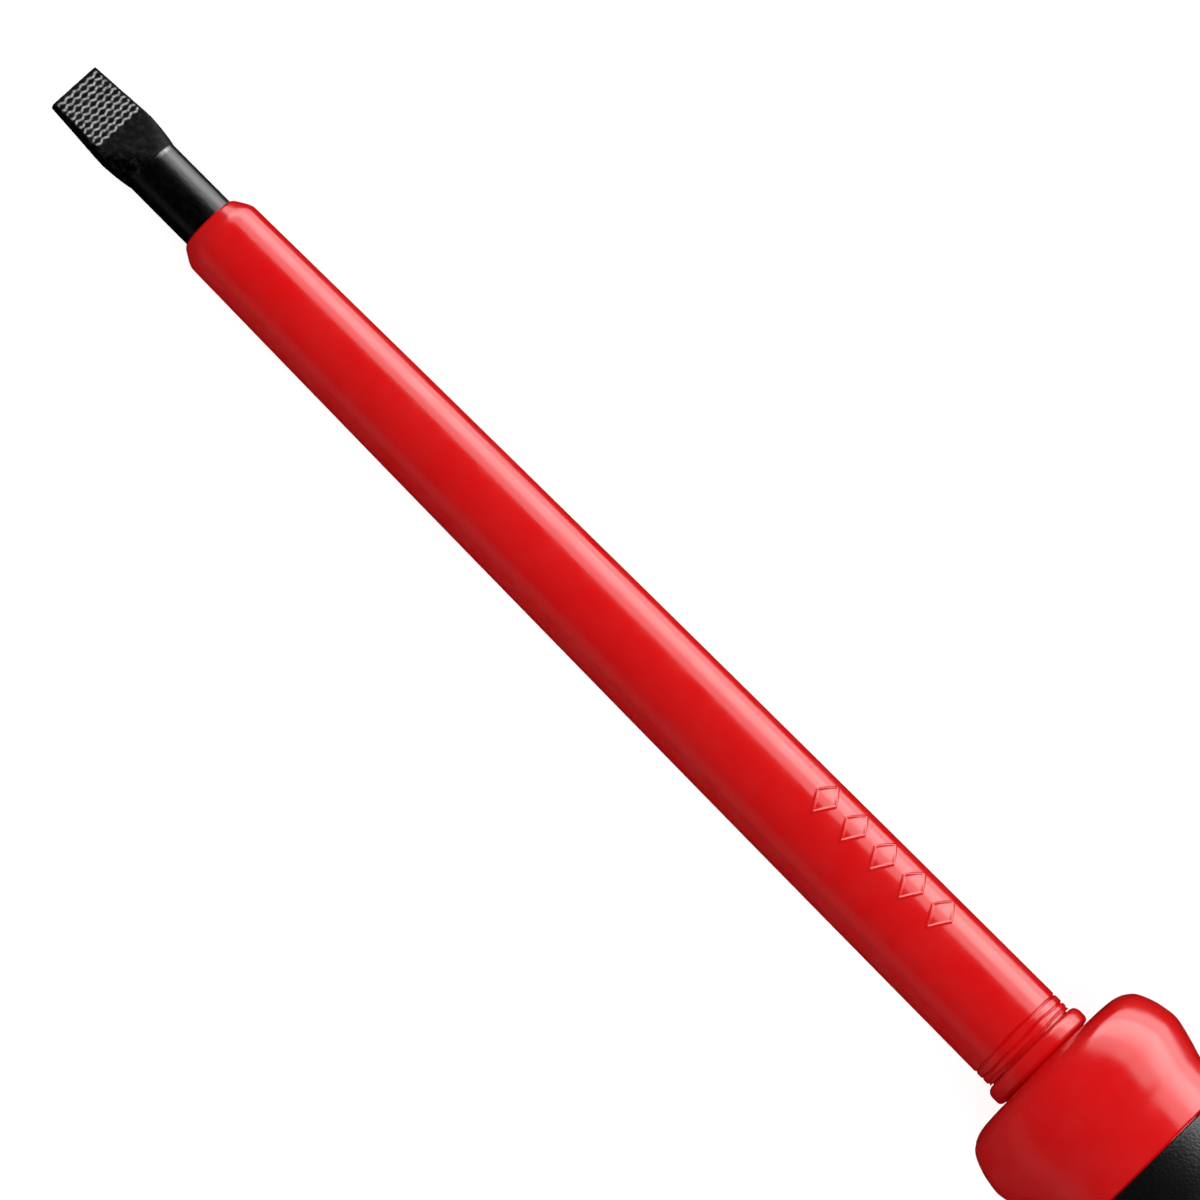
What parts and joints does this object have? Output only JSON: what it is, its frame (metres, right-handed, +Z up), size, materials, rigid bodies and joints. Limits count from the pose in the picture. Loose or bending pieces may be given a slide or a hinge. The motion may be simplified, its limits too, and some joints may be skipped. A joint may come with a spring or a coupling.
{
  "type": "insulated screwdriver",
  "caption": "Insulated slotted screwdriver: black flat blade in a red moulded sleeve, red guard, black soft-lobed grip and red end cap with a hanging hole.",
  "frame": {"origin": "on the floor under the centre of the tool's outline, with the tool lying at rest on the lip of its sleeve and on two lobes of its grip", "axes": "+X runs from the blade tip towards the butt, +Z is up, and +Y is across. The tool's own axis rises 4.33 degrees from +X towards +Z"},
  "size_m": [0.2372, 0.0334, 0.0343],
  "materials": {
    "blade_steel": "black oxide, satin, etched ridges at the tip",
    "insulation_light": "matte moulded",
    "insulation_red": "satin gloss, moulded",
    "handle_red": "satin gloss, moulded",
    "grip_black": "soft-touch, fine grain",
    "disc_dark": "satin moulded"
  },
  "bodies": {
    "root": {"blade": "blade_steel", "inner_insulation": "insulation_light", "blade_sleeve": "insulation_red", "neck_ring": "insulation_red", "guard_collar": "handle_red", "handle_core": "handle_red", "front_grip": "grip_black", "grip_pad_1": "grip_black", "grip_pad_2": "grip_black", "grip_pad_3": "grip_black", "grip_pad_4": "grip_black", "grip_pad_5": "grip_black", "grip_pad_6": "grip_black", "end_cap": "handle_red", "butt_disc": "disc_dark"}
  },
  "joints": []
}
